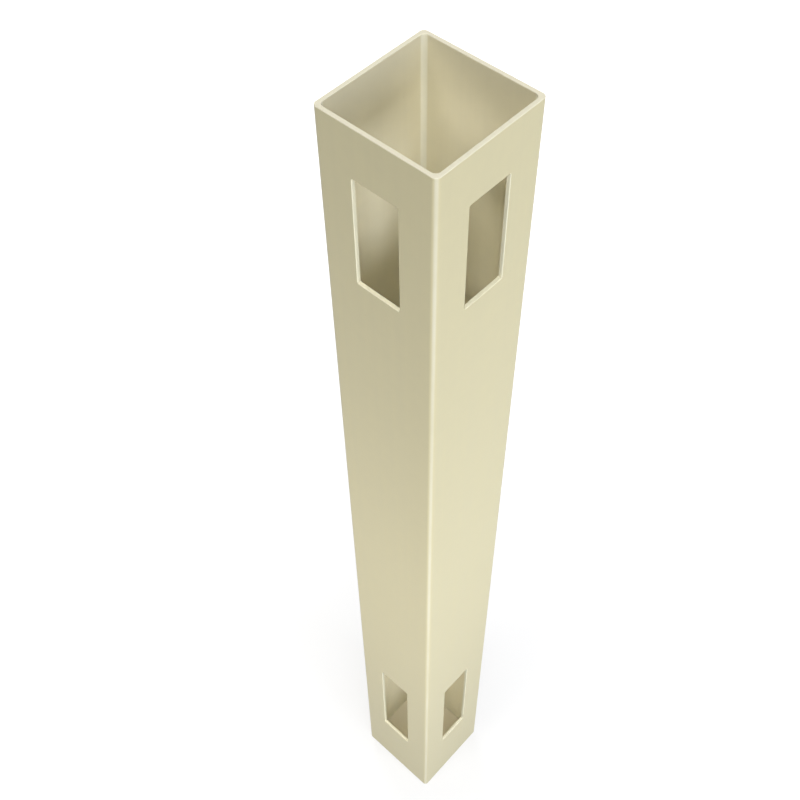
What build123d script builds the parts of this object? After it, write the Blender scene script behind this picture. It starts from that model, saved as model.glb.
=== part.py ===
from build123d import *
import os

# A corner fence post of extruded vinyl: one hollow square length, sawn at both ends, with an
# upper and a lower rail slot through each of two neighbouring walls. It stands on its foot,
# with the origin at the centre of the foot and +Z up the post. The slotted faces look along
# -Y and +X, and the corner between them is the outer corner of the fence line.

# Section of the extrusion
post_width = 101.6
wall_thickness = 3.4
outer_corner_radius = 4.2
inner_corner_radius = 3.8

# Length between the sawn ends
post_length = 1066.8

# Rail slots, centred across each slotted face
slot_width = 39.4
slot_corner_radius = 1.5
upper_slot_height = 95.2
lower_slot_height = 158.8
rim_to_upper_slot = 41.3
foot_to_lower_slot = 104.8

# Scraped edge left where the post is sawn or routed
edge_break = 0.4

half_width = post_width / 2
hollow_width = post_width - 2 * wall_thickness
upper_slot_middle = post_length - rim_to_upper_slot - upper_slot_height / 2
lower_slot_middle = foot_to_lower_slot + lower_slot_height / 2

# Outside planes of the two slotted walls, each with its own y axis up the post
slotted_faces = (Plane.XZ.offset(half_width), Plane.YZ.offset(half_width))

with BuildPart() as post:
    # The thin-walled section as it leaves the die, rounder outside than inside
    with BuildSketch() as section:
        RectangleRounded(post_width, post_width, outer_corner_radius)
        RectangleRounded(hollow_width, hollow_width, inner_corner_radius, mode=Mode.SUBTRACT)
    extrude(amount=post_length)

    # The rim and the foot, with both edges of each sawn ring scraped
    sawn_ends = post.faces().filter_by(Axis.Z)
    chamfer(sawn_ends.edges(), length=edge_break)

    # The rail slots, each routed from its face to the post's axis, so through one wall only
    for face_plane in slotted_faces:
        with BuildSketch(face_plane) as slot_pair:
            with Locations((0, upper_slot_middle)):
                RectangleRounded(slot_width, upper_slot_height, slot_corner_radius)
            with Locations((0, lower_slot_middle)):
                RectangleRounded(slot_width, lower_slot_height, slot_corner_radius)
        extrude(amount=-half_width, mode=Mode.SUBTRACT)

    # The slots' edges, scraped on the outside and on the inside of both slotted walls
    wall_towards_y = post.faces().filter_by(Axis.Y).sort_by(Axis.Y)[:2]
    wall_towards_x = post.faces().filter_by(Axis.X).sort_by(Axis.X)[-2:]
    slot_rings = [ring for face in wall_towards_y + wall_towards_x for ring in face.inner_wires()]
    chamfer([edge for ring in slot_rings for edge in ring.edges()], length=edge_break)

post.part.label = "post"

os.makedirs("parts", exist_ok=True)
export_step(post.part, "parts/post.step")
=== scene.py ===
import math

import bpy
from mathutils import Matrix, Vector


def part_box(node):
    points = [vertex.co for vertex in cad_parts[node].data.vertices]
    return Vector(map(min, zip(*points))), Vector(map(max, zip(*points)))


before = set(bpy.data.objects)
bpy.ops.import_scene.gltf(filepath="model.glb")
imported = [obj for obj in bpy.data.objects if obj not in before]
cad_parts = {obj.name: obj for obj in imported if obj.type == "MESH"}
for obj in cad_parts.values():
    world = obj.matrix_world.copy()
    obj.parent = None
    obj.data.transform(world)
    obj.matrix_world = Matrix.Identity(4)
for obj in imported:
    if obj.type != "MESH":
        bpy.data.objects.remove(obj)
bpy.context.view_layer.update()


# The post. One square length of extruded tan vinyl, sawn at both ends, with two rail slots routed
# through each of two neighbouring walls. The skin keeps the lengthwise streaks of the die. The
# outer ridges are rubbed paler and carry a painted highlight, and a painted highlight runs down
# each inner corner. The cut faces are paler, the routed jambs brighter still as a painted highlight
# and the sills darker as painted shade. The inside is paler, partly as painted light against the
# shade of the hollow, and darker near the open top as painted shade.

# The solid's own sizes, in metres. The slots lie within slot_zone of the middle of a face
post_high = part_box("post")[1]
post_length = post_high.z
outer_skin = post_high.x
wall_thickness = 0.0034
inner_skin = outer_skin - wall_thickness
outer_corner_radius = 0.0042
inner_corner_radius = 0.0038
edge_break = 0.0004
slot_zone = 0.025
upper_sill = 0.9303
lower_sill = 0.1048
mark_margin = 0.00005

# How far each mark reaches, painted light and shade among them. The rub and painted highlight
# on a ridge start and are full at these shares of a corner
fold_highlight_blend = 0.0013
sill_shade_reach = 0.0012
top_shade_start = 0.060
top_shade_end = 0.140
rub_highlight_start = 0.35
rub_highlight_full = 0.60
rub_highlight_strength = 0.42
rub_highlight_patch_pitch = 0.009
rub_highlight_patch_length = 0.060
rub_highlight_patchiness = 0.60

vinyl_colour = (0.629, 0.576, 0.352, 1)
# The inside is paler, partly its own colour and partly painted light against the hollow's shade
inner_substrate_and_light_colour = (0.900, 0.845, 0.630, 1)
# Painted shade for the inside near its open top
top_shade_colour = (0.835, 0.780, 0.573, 1)
# A painted highlight down each inner corner
fold_highlight_colour = (0.970, 0.940, 0.760, 1)
sawn_colour = (0.700, 0.660, 0.510, 1)
# Paler as cut vinyl, and brighter still on the jambs as a painted highlight
routed_highlight_colour = (0.930, 0.900, 0.700, 1)
# Darker on the up-facing sills as painted shade
shaded_sill_colour = (0.775, 0.735, 0.545, 1)
# Rubbed paler and painted with a highlight along each outer ridge
rubbed_highlight_colour = (0.750, 0.735, 0.630, 1)

vinyl_ior = 1.5
vinyl_roughness = 0.40
cut_roughness = 0.58

# The pitch of each pattern, and how much it shades, dulls or raises the surface
cloud_pitch = 0.16
cloud_shade = 0.030
mottle_pitch = 0.011
mottle_shade = 0.045
mottle_dulling = 0.08
streak_pitch = 0.0035
streak_length = 0.70
streak_detail = 3.0
streak_shade = 0.045
streak_dulling = 0.10
streak_height = 0.000010
speck_pitch = 0.018
speck_size = 0.0011
speck_shade = 0.07
fine_detail = 1.0
grain_pitch = 0.0009
grain_height = 0.0000025
sway_pitch = 0.11
sway_height = 0.00012
tool_mark_pitch = 0.0011
tool_mark_reach = 0.012
tool_mark_height = 0.000040


class Level:
    """A number that varies over a surface, so that a finish reads as plain arithmetic."""

    def __init__(self, finish, socket):
        self.finish = finish
        self.socket = socket

    def with_other(self, operation, first, second):
        node = self.finish.node("ShaderNodeMath", {"operation": operation}, {0: first, 1: second})
        return Level(self.finish, node.outputs[0])

    def __add__(self, other):
        return self.with_other("ADD", self, other)

    def __radd__(self, other):
        return self.with_other("ADD", other, self)

    def __sub__(self, other):
        return self.with_other("SUBTRACT", self, other)

    def __rsub__(self, other):
        return self.with_other("SUBTRACT", other, self)

    def __mul__(self, other):
        return self.with_other("MULTIPLY", self, other)

    def __rmul__(self, other):
        return self.with_other("MULTIPLY", other, self)

    def __truediv__(self, other):
        return self.with_other("DIVIDE", self, other)

    def __gt__(self, other):
        return self.with_other("GREATER_THAN", self, other)

    def __lt__(self, other):
        return self.with_other("LESS_THAN", self, other)

    def __neg__(self):
        return self * -1.0

    def __abs__(self):
        return self.with_other("ABSOLUTE", self, 0.0)

    def greater_of(self, other):
        return self.with_other("MAXIMUM", self, other)

    def lesser_of(self, other):
        return self.with_other("MINIMUM", self, other)

    def kept_in_0_to_1(self):
        return self.greater_of(0.0).lesser_of(1.0)


class Finish:
    """One material, or the world, built node by node."""

    def __init__(self, owner):
        owner.use_nodes = True
        self.tree = owner.node_tree
        self.tree.nodes.clear()

    def node(self, kind, settings=None, inputs=None):
        node = self.tree.nodes.new(kind)
        for setting, value in (settings or {}).items():
            setattr(node, setting, value)
        for socket, value in (inputs or {}).items():
            if isinstance(value, Level):
                value = value.socket
            if isinstance(value, bpy.types.NodeSocket):
                self.tree.links.new(value, node.inputs[socket])
            else:
                node.inputs[socket].default_value = value
        return node

    def place(self):
        coordinates = self.node("ShaderNodeTexCoord").outputs["Object"]
        parts = self.node("ShaderNodeSeparateXYZ", {}, {0: coordinates})
        return coordinates, [Level(self, output) for output in parts.outputs]

    def noise(self, coordinates, pitches, detail=2.0):
        """Noise of mean 0, with its own pitch along each axis."""
        mean = 0.5
        scales = tuple(1.0 / pitch for pitch in pitches)
        stretched = self.node("ShaderNodeVectorMath", {"operation": "MULTIPLY"},
                              {0: coordinates, 1: scales})
        noise = self.node("ShaderNodeTexNoise", {}, {"Vector": stretched.outputs[0],
                                                     "Scale": 1.0, "Detail": detail})
        return Level(self, noise.outputs[0]) - mean

    def mixed(self, factor, first, second):
        """A colour that turns from the first into the second as the factor goes from 0 to 1."""
        first_colour, second_colour, mixed_colour = 6, 7, 2  # a Mix node's sockets for colours
        mix = self.node("ShaderNodeMix", {"data_type": "RGBA"},
                        {0: factor, first_colour: first, second_colour: second})
        return mix.outputs[mixed_colour]

    def shaded(self, colour, factor):
        """The colour made lighter or darker all over by a varying factor."""
        shade = self.node("ShaderNodeVectorMath", {"operation": "SCALE"},
                          {"Vector": colour, "Scale": factor})
        return shade.outputs[0]


vinyl = bpy.data.materials.new("tan_vinyl")
finish = Finish(vinyl)
coordinates, (x, y, z) = finish.place()

# Faces left by the saw lie at both ends, and those left by the router inside a wall's thickness
sawn = (z > post_length - edge_break) + (z < edge_break)
inside_wall_y = (-y > inner_skin + mark_margin) * (-y < outer_skin - mark_margin)
inside_wall_x = (x > inner_skin + mark_margin) * (x < outer_skin - mark_margin)
routed_y = inside_wall_y * (abs(x) < slot_zone)
routed_x = inside_wall_x * (abs(y) < slot_zone)
cut = (sawn + routed_y + routed_x).lesser_of(1.0)
hollow = abs(x).greater_of(abs(y)) < inner_skin + mark_margin

# The sills at the foot of each slot are darker than the jambs as painted shade, and the hollow
# is darker near its open top as painted shade
sill_shade = (abs(z - upper_sill) < sill_shade_reach) + (abs(z - lower_sill) < sill_shade_reach)
depth = post_length - z
# Painted shade: 1 near the open top, fading to 0 deeper down
top_shade = ((top_shade_end - depth) / (top_shade_end - top_shade_start)).kept_in_0_to_1()

# A painted highlight runs down the fold of each inner corner, paler than the walls beside it
fold_start = inner_skin - inner_corner_radius
fold_highlight = ((abs(x).lesser_of(abs(y)) - fold_start) / fold_highlight_blend).kept_in_0_to_1()

# The ridge of each outer corner is rubbed paler by handling and stacking, and carries a painted
# highlight along its length
corner_start = outer_skin - outer_corner_radius
round_the_corner = (abs(x) - corner_start).lesser_of(abs(y) - corner_start) / outer_corner_radius
rubbed_and_highlit = ((round_the_corner - rub_highlight_start) / (rub_highlight_full - rub_highlight_start)).kept_in_0_to_1()

clouds = finish.noise(coordinates, (cloud_pitch,) * 3)
mottle = finish.noise(coordinates, (mottle_pitch,) * 3)
streaks = finish.noise(coordinates, (streak_pitch, streak_pitch, streak_length), streak_detail)
grain = finish.noise(coordinates, (grain_pitch,) * 3, fine_detail)
sway = finish.noise(coordinates, (sway_pitch,) * 3, fine_detail)
rub_highlight_patches = finish.noise(coordinates, (rub_highlight_patch_pitch, rub_highlight_patch_pitch, rub_highlight_patch_length))
nearest_speck = finish.node("ShaderNodeTexVoronoi", {},
                            {"Vector": coordinates, "Scale": 1.0 / speck_pitch})
from_speck = Level(finish, nearest_speck.outputs["Distance"]) * (speck_pitch / speck_size)
specks = (1 - from_speck).greater_of(0.0)
marks_y = finish.noise(coordinates, (tool_mark_pitch, tool_mark_reach, tool_mark_pitch),
                       fine_detail)
marks_x = finish.noise(coordinates, (tool_mark_reach, tool_mark_pitch, tool_mark_pitch),
                       fine_detail)
tool_marks = routed_x * marks_x + (1 - routed_x) * marks_y

# Painted highlight and rub along the outer ridges, patchy along their length
rub_and_highlight = rubbed_and_highlit * (rub_highlight_strength + rub_highlight_patches * rub_highlight_patchiness)
skin = finish.mixed(rub_and_highlight, vinyl_colour, rubbed_highlight_colour)
# Inside: paler as painted light against its shade, darker near the open top as painted shade
inside = finish.mixed(top_shade, inner_substrate_and_light_colour, top_shade_colour)
skin = finish.mixed(hollow, skin, finish.mixed(fold_highlight, inside, fold_highlight_colour))
# Routed jambs carry the painted highlight, and the sills the painted shade
routed = finish.mixed(sill_shade, routed_highlight_colour, shaded_sill_colour)
colour = finish.mixed(cut, skin, finish.mixed(sawn, routed, sawn_colour))
shade = 1 + clouds * cloud_shade + mottle * mottle_shade
shade = shade + (1 - cut) * (streaks * streak_shade - specks * speck_shade)
roughness = vinyl_roughness + cut * (cut_roughness - vinyl_roughness)
roughness = roughness + streaks * streak_dulling + mottle * mottle_dulling
height = (1 - cut) * (streaks * streak_height + grain * grain_height) + sway * sway_height
height = height + cut * tool_marks * tool_mark_height

# The heights are in metres, so the bump takes them as they are
bump = finish.node("ShaderNodeBump", {}, {"Strength": 1.0, "Distance": 1.0, "Height": height})
surface = finish.node("ShaderNodeBsdfPrincipled", {}, {
    "Base Color": finish.shaded(colour, shade),
    "Roughness": roughness,
    "Normal": bump.outputs[0],
    "IOR": vinyl_ior,
})
finish.node("ShaderNodeOutputMaterial", {}, {"Surface": surface.outputs[0]})

bpy.data.objects["post"].data.materials[0] = vinyl


# The floor. A grey studio floor that reads as white, keeps a soft shadow round the foot and turns
# pure white away from it. A white card inside the foot of the post throws light back up the
# hollow. Seen through the slots, the card is painted tan, as painted bounce light from the vinyl
# round it.

floor_reach = 8.0
card_white = (0.80, 0.80, 0.80, 1)
floor_grey = (0.28, 0.28, 0.28, 1)
painted_bounce_tan = (0.77, 0.70, 0.52, 1)
foot_lift = 0.64
lift_fade = 0.60
card_reach = inner_skin + wall_thickness / 2

floor_mesh = bpy.data.meshes.new("floor")
floor_mesh.from_pydata(
    [(-floor_reach, -floor_reach, 0), (floor_reach, -floor_reach, 0),
     (floor_reach, floor_reach, 0), (-floor_reach, floor_reach, 0)], [], [(0, 1, 2, 3)])
floor = bpy.data.objects.new("floor", floor_mesh)
bpy.context.scene.collection.objects.link(floor)


def seen_rays(finish):
    """1 where the camera, a gloss or something clear looks, and 0 where a ray only brings light."""
    rays = finish.node("ShaderNodeLightPath").outputs
    seen = Level(finish, rays["Is Camera Ray"]).greater_of(Level(finish, rays["Is Glossy Ray"]))
    return seen.greater_of(Level(finish, rays["Is Transmission Ray"]))


paper = bpy.data.materials.new("studio_paper")
finish = Finish(paper)
coordinates, (x, y, z) = finish.place()
seen = seen_rays(finish)
under_post = abs(x).greater_of(abs(y)) < card_reach
from_post_squared = x * x + y * y
whitened = foot_lift + (1 - foot_lift) * from_post_squared / (from_post_squared + lift_fade ** 2)
lifted = seen * (1 - under_post) * whitened
paper_colour = finish.mixed(under_post, floor_grey, card_white)
# Painted bounce light: where the camera looks, the card under the post shows the vinyl's tan
paper_colour = finish.mixed(seen * under_post, paper_colour, painted_bounce_tan)
diffuse = finish.node("ShaderNodeBsdfDiffuse", {}, {"Color": paper_colour})
lift = finish.node("ShaderNodeEmission", {}, {"Strength": lifted})
both = finish.node("ShaderNodeAddShader", {}, {0: diffuse.outputs[0], 1: lift.outputs[0]})
finish.node("ShaderNodeOutputMaterial", {}, {"Surface": both.outputs[0]})
floor_mesh.materials.append(paper)


# The light. A large soft lamp stands high over the camera, one hangs right above the rim, and one
# on the left shines through the slots. Panels at the post's own height light the right face most,
# two small lamps reach the foot, one panel lights the plain faces, and the room is dim.

room_level = 0.03
room_white = (1, 1, 1, 1)
plain = (1.0, 1.0, 1.0)
warm = (1.0, 0.97, 0.90)
cool = (0.96, 1.0, 1.10)


def lamp(name, azimuth, distance, height, aimed_at, width, tallness, watts, tint=plain):
    bearing = math.radians(azimuth)
    place = Vector((math.sin(bearing) * distance, -math.cos(bearing) * distance, height))
    light = bpy.data.lights.new(name, "AREA")
    light.shape = "RECTANGLE"
    light.size = width
    light.size_y = tallness
    light.energy = watts
    light.color = tint
    holder = bpy.data.objects.new(name, light)
    holder.visible_camera = False
    bpy.context.scene.collection.objects.link(holder)
    aim = (Vector((0, 0, aimed_at)) - place).to_track_quat("-Z", "Y")
    holder.matrix_world = Matrix.Translation(place) @ aim.to_matrix().to_4x4()


lamp("over_lamp", azimuth=45, distance=2.82, height=5.85, aimed_at=0.55,
     width=2.2, tallness=2.2, watts=109)
lamp("top_lamp", azimuth=45, distance=0.01, height=4.50, aimed_at=1.00,
     width=0.6, tallness=0.6, watts=69)
lamp("left_lamp", azimuth=-10, distance=4.60, height=4.41, aimed_at=0.55,
     width=1.4, tallness=1.4, watts=65, tint=warm)
lamp("right_panel", azimuth=90, distance=1.70, height=1.27, aimed_at=0.40,
     width=0.8, tallness=0.8, watts=13.1, tint=cool)
lamp("front_right_panel", azimuth=62, distance=1.70, height=0.60, aimed_at=0.60,
     width=0.9, tallness=1.0, watts=11.0)
lamp("front_left_panel", azimuth=38, distance=1.70, height=0.70, aimed_at=0.70,
     width=0.8, tallness=0.6, watts=2.6)
lamp("right_foot_lamp", azimuth=90, distance=0.60, height=0.55, aimed_at=0.02,
     width=0.30, tallness=0.30, watts=0.60, tint=cool)
lamp("left_foot_lamp", azimuth=0, distance=0.60, height=0.55, aimed_at=0.02,
     width=0.30, tallness=0.30, watts=1.08, tint=warm)
lamp("back_panel", azimuth=240, distance=2.60, height=0.80, aimed_at=0.55,
     width=1.2, tallness=1.2, watts=50)

world = bpy.data.worlds.new("studio")
bpy.context.scene.world = world
finish = Finish(world)
seen = seen_rays(finish)
strength = seen + (1 - seen) * room_level
room = finish.node("ShaderNodeBackground", {}, {"Color": room_white, "Strength": strength})
finish.node("ShaderNodeOutputWorld", {}, {"Surface": room.outputs[0]})


# The camera. It looks steeply down on the front corner from a little above the rim.

camera_place = (0.3614, -0.4097, 1.4960)
camera_azimuth = math.radians(43.70)
camera_pitch = math.radians(53.28)
camera_roll = math.radians(1.20)
frame_width = 800
lens_in_pixels = 1111.3
sensor_width = 36
nearest_seen = 0.01

camera_data = bpy.data.cameras.new("camera")
camera_data.sensor_width = sensor_width
camera_data.lens = lens_in_pixels / frame_width * sensor_width
camera_data.clip_start = nearest_seen
camera = bpy.data.objects.new("camera", camera_data)
bpy.context.scene.collection.objects.link(camera)
camera.matrix_world = (Matrix.Translation(camera_place)
                       @ Matrix.Rotation(camera_azimuth, 4, "Z")
                       @ Matrix.Rotation(math.pi / 2 - camera_pitch, 4, "X")
                       @ Matrix.Rotation(-camera_roll, 4, "Z"))
bpy.context.scene.camera = camera
bpy.context.scene.view_settings.view_transform = "Standard"
